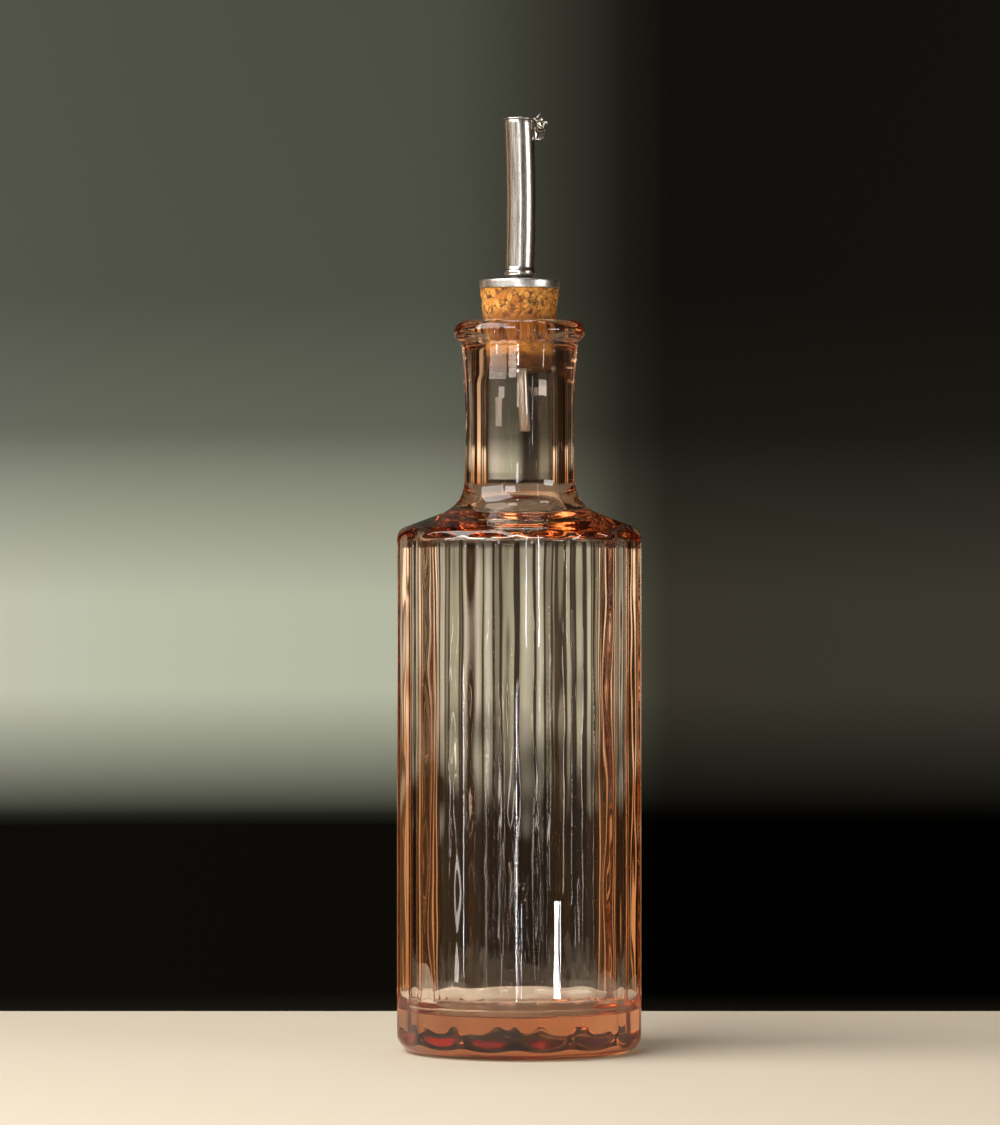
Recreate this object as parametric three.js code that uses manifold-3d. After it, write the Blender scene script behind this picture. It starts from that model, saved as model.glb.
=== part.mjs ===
// Oil cruet: a fluted glass bottle, shut by a cork pourer whose steel spout has a hinged flap.
// Millimetres, +Z up. The origin is on the table, on the bottle's axis, and the hinge is on the +X side.

import * as THREE from 'three';
import { mergeVertices } from 'three/addons/utils/BufferGeometryUtils.js';
import Module from 'manifold-3d';

// Bottle, outside
const fluteCount = 14;
const ridgeRadius = 35;
const ridgeRounding = 6;
const firstRidgeTurn = -91.64;
const pushUpHeight = 1.2;
const restRingInner = 22;
const heelRadius = 6.5;
const shoulderHeight = 142.2;
const shoulderRounding = 5;
const shoulderSlope = 20.5;
const neckRootRadius = 22.5;
const neckRadius = 15.5;
const neckFootHeight = 160;
const neckWaist = { low: [15, 170], high: [15.2, 186] };
const lipRingRadius = 15.3;
const lipRounding = 3.1;
const lipHeight = 201.3;
const lipUndersideAngle = -67;

// Bottle, inside
const throatRadius = 10.15;
const throatHeight = 201.9;
const boreRadius = 11;
const boreTopHeight = 188;
const boreFootHeight = 158;
const innerRadius = 30;
const innerShoulderHeight = 142.7;
const innerShoulderRounding = 1.3;
const innerShoulderSlope = 14;
const innerNeckRootRadius = 19;
const innerNeckCornerRise = 0.5;
const floorHeight = 11.5;
const floorRounding = 5;

// Cork and the metal disc on it
const corkBottom = 191.8;
const corkTop = 213.3;
const corkBottomRadius = 9;
const corkTopRadius = 11.05;
const corkChamfer = 0.6;
const discRadius = 11.25;
const discBottom = 213.4;
const discTop = 215.9;
const discRounding = 0.5;

// Spout tube: a slim shank through the cork, a bead at the foot, then a slightly bowed tube
const spoutRadius = 4.12;
const spoutTop = 260.6;
const spoutFoot = 218.6;
const shankRadius = 3.5;
const shankTop = 216.9;
const spoutWall = 0.5;
const beadHeight = 217.8;
const beadRadius = 4.35;
const spoutBow = 0.52;
const spoutLean = -0.2;
const spoutRows = 8;

// Vent tube: leans inside the spout's bore and hangs below the cork
const ventRadius = 1.5;
const ventWall = 0.4;
const ventBottom = 173.6;
const ventTop = 225;
const ventBottomX = 1.5;
const ventTopX = -0.77;
const ventSetBack = 1.2;

// Hinge at the spout's mouth
const hingeX = 5.9;
const hingeHeight = 259.3;
const pinRadius = 0.42;
const pinHoleRadius = 0.52;
const pinHeadRadius = 0.75;
const pinHeadThickness = 0.3;
const lugThickness = 0.8;
const lugBottom = 255.1;
const lugReach = 6.9;
const lugRounding = 1.1;
const lugEyeRadius = 0.85;
const lugStepHeight = 258.9;

// Flap: a lid with two ears that straddle the lug, a thumb lever and a short tail
const lidRadius = 4.35;
const lidGap = 0.15;
const lidThickness = 0.5;
const lidDome = 0.25;
const earThickness = 0.5;
const earGap = 0.15;
const earRadius = 1.1;
const armHalfWidth = 0.7;
const tailReach = 7.9;
const tailHeight = 260;
const tailThickness = 0.45;
const leverFoot = [4.6, 259.3];
const leverTip = [6.2, 262.8];
const leverThickness = 0.4;

// Clearances and mesh fineness
const weldGap = 0.12;
const pressGap = 0.12;
const bottleSegments = 48;
const curveDivisions = 3;
const turnedSegments = 24;
const roundSegments = 20;

const wasm = await Module();
wasm.setup();

const degrees = THREE.MathUtils.degToRad;

// A closed mesh as a solid, with shared vertices merged and collapsed triangles at the poles dropped
function toSolid(geometry) {
  const bare = geometry.clone();
  bare.deleteAttribute('normal');
  bare.deleteAttribute('uv');
  const merged = mergeVertices(bare);
  const index = merged.index.array;
  const triangles = [];
  for (let i = 0; i < index.length; i += 3) {
    const [a, b, c] = [index[i], index[i + 1], index[i + 2]];
    if (a !== b && b !== c && c !== a) {
      triangles.push(a, b, c);
    }
  }
  return new wasm.Manifold(new wasm.Mesh({
    numProp: 3,
    vertProperties: Float32Array.from(merged.attributes.position.array),
    triVerts: Uint32Array.from(triangles),
  }));
}

function toGeometry(solid) {
  const mesh = solid.getMesh();
  const geometry = new THREE.BufferGeometry();
  geometry.setAttribute('position', new THREE.BufferAttribute(mesh.vertProperties, 3));
  geometry.setIndex(new THREE.BufferAttribute(mesh.triVerts, 1));
  geometry.computeVertexNormals();
  return geometry;
}

// A profile of radius and height, turned round the Z axis
function turned(points, segments) {
  return new THREE.LatheGeometry(points, segments).rotateX(Math.PI / 2);
}

function closedProfile(path, divisions) {
  const points = path.getPoints(divisions);
  points.push(points[0].clone());
  return points;
}

// A plate cut to an outline in the XZ plane, centred on a given Y
function plate(shape, thickness, centreY) {
  const options = { depth: thickness, bevelEnabled: false, curveSegments: roundSegments / 2 };
  return new THREE.ExtrudeGeometry(shape, options)
    .rotateX(Math.PI / 2)
    .translate(0, centreY + thickness / 2, 0);
}

function roundHole(x, y, radius) {
  return new THREE.Path().absarc(x, y, radius, 0, 2 * Math.PI, true);
}

function rectangle(left, bottom, right, top) {
  return new THREE.Shape()
    .moveTo(left, bottom)
    .lineTo(right, bottom)
    .lineTo(right, top)
    .lineTo(left, top)
    .closePath();
}

function addMesh(group, name, geometry, color, roughness, metalness) {
  const material = new THREE.MeshStandardMaterial({ color, roughness, metalness });
  const mesh = new THREE.Mesh(geometry, material);
  mesh.name = name;
  group.add(mesh);
  return mesh;
}

// The bottle's wall in section: base, heel, shoulder, waisted neck and rolled lip, then down inside
function bottleProfile() {
  const slope = degrees(shoulderSlope);
  const shoulderArcEnd = Math.PI / 2 - slope;
  const shoulderCentre = ridgeRadius - shoulderRounding;
  const slopeStartX = shoulderCentre + shoulderRounding * Math.cos(shoulderArcEnd);
  const slopeStartY = shoulderHeight + shoulderRounding * Math.sin(shoulderArcEnd);
  const neckRootHeight = slopeStartY + (slopeStartX - neckRootRadius) * Math.tan(slope);
  const filletCornerHeight = neckRootHeight + (neckRootRadius - neckRadius) * Math.tan(slope);
  const lipStart = degrees(lipUndersideAngle);
  const lipStartX = lipRingRadius + lipRounding * Math.cos(lipStart);
  const lipStartY = lipHeight + lipRounding * Math.sin(lipStart);
  const innerSlope = degrees(innerShoulderSlope);
  const innerArcEnd = Math.PI / 2 - innerSlope;
  const innerShoulderCentre = innerRadius - innerShoulderRounding;
  const innerSlopeStartX = innerShoulderCentre + innerShoulderRounding * Math.cos(innerArcEnd);
  const innerSlopeStartY = innerShoulderHeight + innerShoulderRounding * Math.sin(innerArcEnd);
  const innerSlopeRun = innerSlopeStartX - innerNeckRootRadius;
  const innerNeckRootHeight = innerSlopeStartY + innerSlopeRun * Math.tan(innerSlope);
  const innerNeckCorner = innerNeckRootHeight + innerNeckCornerRise;
  const lipTop = lipHeight + lipRounding;

  const path = new THREE.Path();
  path.moveTo(0, pushUpHeight);
  path.quadraticCurveTo(restRingInner * 0.7, pushUpHeight, restRingInner, 0);
  path.lineTo(ridgeRadius - heelRadius, 0);
  path.absarc(ridgeRadius - heelRadius, heelRadius, heelRadius, -Math.PI / 2, 0, false);
  path.lineTo(ridgeRadius, shoulderHeight);
  path.absarc(shoulderCentre, shoulderHeight, shoulderRounding, 0, shoulderArcEnd, false);
  path.lineTo(neckRootRadius, neckRootHeight);
  path.quadraticCurveTo(neckRadius, filletCornerHeight, neckRadius, neckFootHeight);
  path.bezierCurveTo(...neckWaist.low, ...neckWaist.high, lipStartX, lipStartY);
  path.absarc(lipRingRadius, lipHeight, lipRounding, lipStart, Math.PI / 2, false);
  path.absellipse(
    lipRingRadius, throatHeight, lipRingRadius - throatRadius, lipTop - throatHeight,
    Math.PI / 2, Math.PI, false,
  );
  path.quadraticCurveTo(throatRadius, (throatHeight + boreTopHeight) / 2, boreRadius, boreTopHeight);
  path.lineTo(boreRadius, boreFootHeight);
  path.quadraticCurveTo(boreRadius, innerNeckCorner, innerNeckRootRadius, innerNeckRootHeight);
  path.absarc(innerShoulderCentre, innerShoulderHeight, innerShoulderRounding, innerArcEnd, 0, true);
  path.lineTo(innerRadius, floorHeight + floorRounding);
  path.absarc(
    innerRadius - floorRounding, floorHeight + floorRounding, floorRounding,
    0, -Math.PI / 2, true,
  );
  path.lineTo(0, floorHeight);
  return path.getPoints(curveDivisions);
}

// Flat panels that meet in rounded ridges: a polygon with filleted corners
function fluteOutline() {
  const halfStep = Math.PI / fluteCount;
  const arcDistance = ridgeRadius - ridgeRounding / Math.cos(halfStep);
  const shape = new THREE.Shape();
  for (let i = 0; i < fluteCount; i += 1) {
    const turn = degrees(firstRidgeTurn) + 2 * halfStep * i;
    const x = arcDistance * Math.cos(turn);
    const y = arcDistance * Math.sin(turn);
    shape.absarc(x, y, ridgeRounding, turn - halfStep, turn + halfStep, false);
  }
  return shape;
}

function bottleGeometry() {
  const wall = toSolid(turned(bottleProfile(), bottleSegments));
  const below = 1;
  const above = lipHeight + lipRounding + below;
  const prism = new THREE.ExtrudeGeometry(fluteOutline(), {
    depth: above + below,
    bevelEnabled: false,
    curveSegments: 2,
  }).translate(0, 0, -below);
  return toGeometry(wall.intersect(toSolid(prism)));
}

function corkGeometry() {
  const hole = shankRadius + pressGap;
  const path = new THREE.Path();
  path.moveTo(hole, corkBottom);
  path.lineTo(corkBottomRadius - corkChamfer, corkBottom);
  path.lineTo(corkBottomRadius, corkBottom + corkChamfer);
  path.lineTo(corkTopRadius, corkTop);
  path.lineTo(hole, corkTop);
  return turned(closedProfile(path, 1), 2 * turnedSegments);
}

function discGeometry() {
  const hole = shankRadius + pressGap;
  const path = new THREE.Path();
  path.moveTo(hole, discBottom);
  path.lineTo(discRadius, discBottom);
  path.lineTo(discRadius, discTop - discRounding);
  path.absarc(discRadius - discRounding, discTop - discRounding, discRounding, 0, Math.PI / 2, false);
  path.lineTo(hole, discTop);
  return turned(closedProfile(path, 2), 2 * turnedSegments);
}

// How far the bowed spout's centre stands off the bottle's axis at a given height
function spoutOffset(height) {
  const t = Math.max(0, (height - shankTop) / (spoutTop - shankTop));
  return spoutBow * 4 * t * (1 - t) + spoutLean * t;
}

function spoutGeometry() {
  const bore = spoutRadius - spoutWall;
  const shankBore = shankRadius - spoutWall;
  const rowHeights = [];
  for (let i = 0; i <= spoutRows; i += 1) {
    rowHeights.push(spoutFoot + ((spoutTop - spoutFoot) * i) / spoutRows);
  }
  const path = new THREE.Path();
  path.moveTo(shankRadius, corkBottom);
  path.lineTo(shankRadius, shankTop);
  path.quadraticCurveTo(beadRadius, shankTop, beadRadius, beadHeight);
  path.quadraticCurveTo(beadRadius, spoutFoot, spoutRadius, spoutFoot);
  for (const height of rowHeights.slice(1)) {
    path.lineTo(spoutRadius, height);
  }
  for (const height of rowHeights.slice().reverse()) {
    path.lineTo(bore, height);
  }
  path.lineTo(shankBore, shankTop);
  path.lineTo(shankBore, corkBottom);
  const geometry = turned(closedProfile(path, 3), turnedSegments);
  const position = geometry.attributes.position;
  for (let i = 0; i < position.count; i += 1) {
    position.setX(i, position.getX(i) + spoutOffset(position.getZ(i)));
  }
  return geometry;
}

function ventGeometry(length) {
  const shape = new THREE.Shape().absarc(0, 0, ventRadius, 0, 2 * Math.PI, false);
  shape.holes.push(roundHole(0, 0, ventRadius - ventWall));
  const options = { depth: length, bevelEnabled: false, curveSegments: roundSegments / 2 };
  return new THREE.ExtrudeGeometry(shape, options);
}

// The lug is a fin on the spout's side whose upper corner is the eye for the pin
function lugGeometry() {
  const rootLow = spoutOffset(lugBottom) + spoutRadius + weldGap;
  const rootHigh = spoutOffset(lugStepHeight) + spoutRadius + weldGap;
  const cornerX = lugReach - lugRounding;
  const shape = new THREE.Shape();
  shape.moveTo(rootLow, lugBottom);
  shape.lineTo(cornerX, lugBottom);
  shape.absarc(cornerX, lugBottom + lugRounding, lugRounding, -Math.PI / 2, 0, false);
  shape.lineTo(hingeX + lugEyeRadius, hingeHeight);
  shape.absarc(hingeX, hingeHeight, lugEyeRadius, 0, Math.PI, false);
  shape.lineTo(hingeX - lugEyeRadius, lugStepHeight);
  shape.lineTo(rootHigh, lugStepHeight);
  shape.closePath();
  shape.holes.push(roundHole(hingeX, hingeHeight, pinHoleRadius));
  return plate(shape, lugThickness, 0);
}

function pinGeometry() {
  const headStart = lugThickness / 2 + earGap + earThickness + earGap;
  const headEnd = headStart + pinHeadThickness;
  const path = new THREE.Path();
  path.moveTo(0, -headEnd);
  path.lineTo(pinHeadRadius, -headEnd);
  path.lineTo(pinHeadRadius, -headStart);
  path.lineTo(pinRadius, -headStart);
  path.lineTo(pinRadius, headStart);
  path.lineTo(pinHeadRadius, headStart);
  path.lineTo(pinHeadRadius, headEnd);
  path.lineTo(0, headEnd);
  return turned(path.getPoints(1), roundSegments);
}

// A shallow domed disc over the spout's mouth
function lidSolid() {
  const bottom = spoutTop + lidGap;
  const rim = bottom + lidThickness;
  const path = new THREE.Path();
  path.moveTo(0, bottom);
  path.lineTo(lidRadius, bottom);
  path.lineTo(lidRadius, rim);
  path.quadraticCurveTo(lidRadius / 2, rim + lidDome, 0, rim + lidDome);
  return toSolid(turned(path.getPoints(4), turnedSegments).translate(spoutLean, 0, 0));
}

function earSolid(centreY) {
  const lidBottom = spoutTop + lidGap;
  const armTop = lidBottom + lidThickness;
  const armLeft = lidRadius + spoutLean - armHalfWidth;
  const tailBottom = tailHeight - tailThickness / 2;
  const knuckle = new THREE.Shape().absarc(hingeX, hingeHeight, earRadius, 0, 2 * Math.PI, false);
  const hole = new THREE.Shape().absarc(hingeX, hingeHeight, pinHoleRadius, 0, 2 * Math.PI, false);
  const outlines = [
    knuckle,
    rectangle(armLeft, lidBottom, hingeX + armHalfWidth, armTop),
    rectangle(hingeX - armHalfWidth, hingeHeight, hingeX + armHalfWidth, armTop),
    rectangle(hingeX, tailBottom, tailReach, tailBottom + tailThickness),
  ];
  const cutter = toSolid(plate(hole, 3 * earThickness, centreY));
  return outlines
    .map((outline) => toSolid(plate(outline, earThickness, centreY)))
    .reduce((sum, solid) => sum.add(solid))
    .subtract(cutter);
}

// The lever spans both ears and leans away from the spout
function leverSolid(width) {
  const run = leverTip[0] - leverFoot[0];
  const rise = leverTip[1] - leverFoot[1];
  const length = Math.hypot(run, rise);
  const geometry = new THREE.BoxGeometry(leverThickness, width, length)
    .rotateY(Math.atan2(run, rise))
    .translate((leverFoot[0] + leverTip[0]) / 2, 0, (leverFoot[1] + leverTip[1]) / 2);
  return toSolid(geometry);
}

function flapGeometry() {
  const earCentre = lugThickness / 2 + earGap + earThickness / 2;
  const leverWidth = 2 * earCentre + earThickness;
  const solid = lidSolid()
    .add(earSolid(-earCentre))
    .add(earSolid(earCentre))
    .add(leverSolid(leverWidth));
  return toGeometry(solid);
}

const cruet = new THREE.Group();
addMesh(cruet, 'glass_bottle', bottleGeometry(), '#c98a63', 0.05, 0);
addMesh(cruet, 'cork', corkGeometry(), '#cf9457', 0.9, 0);
addMesh(cruet, 'cap_disc', discGeometry(), '#cfcbc4', 0.35, 1);
addMesh(cruet, 'spout_tube', spoutGeometry(), '#d8d4cf', 0.12, 1);

const ventRun = ventTopX - ventBottomX;
const ventRise = ventTop - ventBottom;
const vent = addMesh(cruet, 'vent_tube', ventGeometry(Math.hypot(ventRun, ventRise)), '#bdb6ac', 0.25, 1);
vent.position.set(ventBottomX, ventSetBack, ventBottom);
vent.rotation.y = Math.atan2(ventRun, ventRise);

addMesh(cruet, 'hinge_lug', lugGeometry(), '#b3aaa2', 0.3, 1);
const pin = addMesh(cruet, 'hinge_pin', pinGeometry(), '#8f8880', 0.3, 1);
pin.position.set(hingeX, 0, hingeHeight);
pin.rotation.x = Math.PI / 2;
addMesh(cruet, 'flap', flapGeometry(), '#d8d4cf', 0.18, 1);

export default cruet;
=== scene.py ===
# Oil cruet: fluted rose-amber glass with a cork pourer and a hinged flap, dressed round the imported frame.
import math
import bpy
import numpy as np
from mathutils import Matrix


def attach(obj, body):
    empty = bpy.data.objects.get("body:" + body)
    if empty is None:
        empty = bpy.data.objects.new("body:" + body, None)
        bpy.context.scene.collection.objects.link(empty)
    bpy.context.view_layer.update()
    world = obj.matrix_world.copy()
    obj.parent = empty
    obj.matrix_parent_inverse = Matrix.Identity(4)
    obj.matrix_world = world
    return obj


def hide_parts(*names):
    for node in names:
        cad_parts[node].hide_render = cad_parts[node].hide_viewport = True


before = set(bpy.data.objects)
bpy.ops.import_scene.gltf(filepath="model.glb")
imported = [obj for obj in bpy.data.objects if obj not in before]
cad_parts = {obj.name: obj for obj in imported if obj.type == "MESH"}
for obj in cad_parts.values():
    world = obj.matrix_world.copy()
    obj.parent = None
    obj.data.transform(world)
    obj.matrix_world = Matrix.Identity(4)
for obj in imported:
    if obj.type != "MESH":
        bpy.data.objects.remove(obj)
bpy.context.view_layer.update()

mm = 0.001
sameSpot = 1e-6          # mm, outline points this close count as one
poleSize = 1e-5          # mm, a grid row this small counts as one point
collection = bpy.context.scene.collection
print("frame loaded:", sorted(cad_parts))

# camera
viewer = {
    "distance": 1.5,       # metres from the bottle's axis
    "eye": 0.1368,         # level camera, about half way up
    "aside": -0.0055,      # the bottle stands a little right of the middle
    "perPixel": 0.00028,   # metres for each photo pixel at the axis
    "pixelsHigh": 1125,
    "sensor": 36.0,
    "bounces": 40,         # light runs far along the thick glass
}


def addCamera(v):
    # lens = sensor times distance over the height that the picture covers at the bottle's axis
    data = bpy.data.cameras.new("viewer")
    data.sensor_width = v["sensor"]
    data.lens = v["sensor"] * v["distance"] / (v["perPixel"] * v["pixelsHigh"])
    camera = bpy.data.objects.new("viewer", data)
    camera.location = (v["aside"], -v["distance"], v["eye"])
    camera.rotation_euler = (math.pi / 2, 0, 0)
    collection.objects.link(camera)
    bpy.context.scene.camera = camera
    bpy.context.scene.view_settings.view_transform = "Standard"   # colours as the hex values give them
    bpy.context.scene.cycles.max_bounces = v["bounces"]
    bpy.context.scene.cycles.transmission_bounces = v["bounces"]
    bpy.context.scene.cycles.glossy_bounces = v["bounces"]


addCamera(viewer)
print("camera set")


# helpers for outlines: each gives rows of (radius, height) in mm, and its last value is the number of steps
def arcPoints(cx, cz, rx, rz, startDeg, endDeg, steps):
    # ellipse arc: centre plus half-widths times cosine and sine of an angle that runs evenly
    a = np.radians(np.linspace(startDeg, endDeg, steps + 1))
    return np.stack([cx + rx * np.cos(a), cz + rz * np.sin(a)], axis=1)


def curvePoints(controls, steps):
    # Bezier curve: control points weighted by Bernstein terms of the evenly spaced parameter
    t = np.linspace(0, 1, steps + 1)[:, None]
    degree = len(controls) - 1
    terms = [math.comb(degree, k) * t**k * (1 - t) ** (degree - k) * np.array(c, float)
             for k, c in enumerate(controls)]
    return np.sum(terms, axis=0)


def linePoints(start, end, steps):
    # straight run: even blend from start to end
    return curvePoints([start, end], steps)


def joinOutline(*parts):
    # parts end to end, without the doubled points where they meet
    rows = np.concatenate(parts)
    keep = np.ones(len(rows), bool)
    keep[1:] = np.linalg.norm(np.diff(rows, axis=0), axis=1) > sameSpot
    return rows[keep]


def turnOutline(outline, angles):
    # revolve: x = r cos a, y = r sin a, z = height, for every angle and every outline row
    r, z = outline[:, 0], outline[:, 1]
    x = np.cos(angles)[:, None] * r[None, :]
    y = np.sin(angles)[:, None] * r[None, :]
    return np.stack([x, y, np.broadcast_to(z, x.shape)], axis=2)


def evenAngles(count):
    # whole turn in equal parts: step times two pi over the count
    return np.arange(count) * (2 * np.pi / count)


def gridObject(name, grid, loopAlong=False, fields=None):
    # grid[i, j] is the point at step i round and j along, in mm; quads join neighbours, the round direction
    # closes on itself, and a row that has shrunk to one point becomes a pole of triangles
    n, m = grid.shape[:2]
    index = np.arange(n * m).reshape(n, m)
    spread = np.ptp(grid, axis=0).max(axis=1)
    poles = spread < poleSize
    index[:, poles] = index[0, poles]
    nextRound = np.roll(index, -1, axis=0)
    along = np.arange(m if loopAlong else m - 1)
    ahead = (along + 1) % m
    quads = np.stack([index[:, along], nextRound[:, along], nextRound[:, ahead], index[:, ahead]], axis=2)
    quads = quads.reshape(-1, 4)
    used, flat = np.unique(quads, return_inverse=True)
    quads = flat.reshape(-1, 4)
    firstPole = quads[:, 0] == quads[:, 1]
    lastPole = quads[:, 2] == quads[:, 3]
    plain = ~(firstPole | lastPole)
    faces = quads[plain].tolist() + quads[firstPole][:, 1:].tolist() + quads[lastPole][:, :3].tolist()
    mesh = bpy.data.meshes.new(name)
    mesh.from_pydata((grid.reshape(-1, 3)[used] * mm).tolist(), [], faces)
    mesh.polygons.foreach_set("use_smooth", np.ones(len(faces), bool))
    for label, values in (fields or {}).items():
        layer = mesh.attributes.new(label, "FLOAT", "POINT")
        layer.data.foreach_set("value", values.reshape(-1)[used].astype(np.float32))
    mesh.update()
    obj = bpy.data.objects.new(name, mesh)
    collection.objects.link(obj)
    return obj


def place(obj, material, body, node):
    # one material, the body it rides on and the CAD node it stands for
    obj.data.materials.clear()
    obj.data.materials.append(material)
    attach(obj, body)
    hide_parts(node)


# helpers for materials
def linear(hexColour):
    # sRGB hex to linear RGBA
    c = np.array([int(hexColour[i:i + 2], 16) for i in (1, 3, 5)]) / 255
    c = np.where(c <= 0.04045, c / 12.92, ((c + 0.055) / 1.055) ** 2.4)
    return (*c.tolist(), 1.0)


def addNode(tree, kind, settings=None, **links):
    # one node with its settings and links: a setting is a property or an input socket, a link is an output
    node = tree.nodes.new(kind)
    for key, value in (settings or {}).items():
        if isinstance(key, int) or key in node.inputs:
            node.inputs[key].default_value = value
        else:
            setattr(node, key, value)
    for key, output in links.items():
        socket = node.inputs[int(key[2:])] if key.startswith("in") and key[2:].isdigit() else node.inputs[key]
        tree.links.new(output, socket)
    return node


def objectSpot(tree):
    # place on the object, in metres from its origin
    return addNode(tree, "ShaderNodeTexCoord").outputs["Object"]


def partsOf(tree, vector):
    # the X, Y and Z of a vector, by name
    return addNode(tree, "ShaderNodeSeparateXYZ", Vector=vector).outputs


def fieldOf(tree, name):
    # value of a field that the mesh carries
    return addNode(tree, "ShaderNodeAttribute", {"attribute_name": name}).outputs["Fac"]


def remap(tree, value, fromMin, fromMax, toMin=0.0, toMax=1.0):
    # straight scale from one range to another, held at its ends
    ends = {"From Min": fromMin, "From Max": fromMax, "To Min": toMin, "To Max": toMax}
    return addNode(tree, "ShaderNodeMapRange", ends, Value=value).outputs["Result"]


def heightBand(tree, height, start, end, low, high):
    # low at the start height and high at the end height, both in mm, and even between
    return remap(tree, height, start * mm, end * mm, low, high)


def product(tree, first, second):
    # one value times another
    return addNode(tree, "ShaderNodeMath", {"operation": "MULTIPLY"}, in0=first, in1=second).outputs[0]


def mixColours(tree, amount, first, second, blend="MIX"):
    # second over first by the amount; each of the three is an output to link or a value for the socket
    values = {0: amount, 6: first, 7: second}
    linked = {f"in{k}": v for k, v in values.items() if isinstance(v, bpy.types.NodeSocket)}
    fixed = {k: v for k, v in values.items() if not isinstance(v, bpy.types.NodeSocket)}
    settings = {"data_type": "RGBA", "blend_type": blend, **fixed}
    return addNode(tree, "ShaderNodeMix", settings, **linked).outputs[2]


def rampColour(tree, value, stops):
    # colour ramp with stops of (position, hex colour) in rising order
    ramp = addNode(tree, "ShaderNodeValToRGB", Fac=value)
    elements = ramp.color_ramp.elements
    elements[0].position, elements[0].color = stops[0][0], linear(stops[0][1])
    elements[1].position, elements[1].color = stops[-1][0], linear(stops[-1][1])
    for position, colour in stops[1:-1]:
        elements.new(position).color = linear(colour)
    return ramp.outputs["Color"]


def stretchedNoise(tree, spot, across, along, detail):
    # noise whose grains have the given sizes in mm, across and up
    size = (1 / (across * mm), 1 / (across * mm), 1 / (along * mm))
    sized = addNode(tree, "ShaderNodeMapping", {"Scale": size}, Vector=spot)
    noise = addNode(tree, "ShaderNodeTexNoise", {"Scale": 1.0, "Detail": detail}, Vector=sized.outputs[0])
    return noise.outputs["Fac"]


def newMaterial(name, values):
    # principled shader with its fixed values, joined to the output
    material = bpy.data.materials.new(name)
    material.use_nodes = True
    tree = material.node_tree
    tree.nodes.clear()
    shader = addNode(tree, "ShaderNodeBsdfPrincipled", values)
    addNode(tree, "ShaderNodeOutputMaterial", Surface=shader.outputs[0])
    return material, tree, shader


# glass bottle
glass = {
    "flutes": 14,
    "ridgeRadius": 35.0,
    "ridgeRounding": 6.0,
    "panelHollow": 0.25,           # mm each panel dips at its middle
    "firstRidge": -91.64,          # degrees; one ridge nearly faces the viewer
    "pushUp": (1.2, 0.7),          # mm high, and how far out it stays level as a share of the ring
    "restRing": 22.0,
    "heel": 6.5,
    "shoulder": (142.2, 5.0, 20.5),        # height, rounding, slope in degrees
    "shoulderGap": 1.0,            # mm of plain wall left below the shoulder's arc
    "neckRoot": 22.5,
    "neck": (15.5, 160.0),
    "neckWaist": ((15.0, 170.0), (15.2, 186.0)),
    "lip": (15.3, 201.3, 3.1, -67.0),      # ring radius, height, rounding, start angle
    "throat": (10.15, 201.9),
    "bore": (11.0, 188.0),
    "inner": 30.0,
    "innerShoulder": (142.7, 1.3, 14.0),   # height, rounding, slope in degrees
    "innerNeckRoot": (19.0, 0.5),  # radius, and how far above it the curve to the bore aims
    "innerFillet": 158.0,
    "floor": (11.5, 5.0),          # height, rounding
    "flutedFrom": 0.9,             # flutes start at this share of the panels' distance from the axis
    "edgeSoftness": 0.5,           # mm over which panel and shoulder blend
    "innerRib": 0.12,              # mm the wall is thicker behind each ridge
    "waveDepth": 0.05,             # mm, ripples left inside by the blowing
    "waveTurns": (3, 5, 8, 11, 14, 17, 21, 26, 32),   # waves round the bottle
    "waveLengths": (30, 110),      # mm, shortest and longest wave up the wall
    "waveSwing": 1.3,              # how far a wave sways as it rises
    "seed": 11,
    "innerStreaks": 0.3,           # streaks inside, as a share of those outside
    "crest": (0.18, 0.6),          # share of a half flute that is polished ridge, and how much of it is bare
    "columns": 20,                 # per flute
    "crowding": 0.75,              # how strongly the columns draw in to each ridge
}


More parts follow.
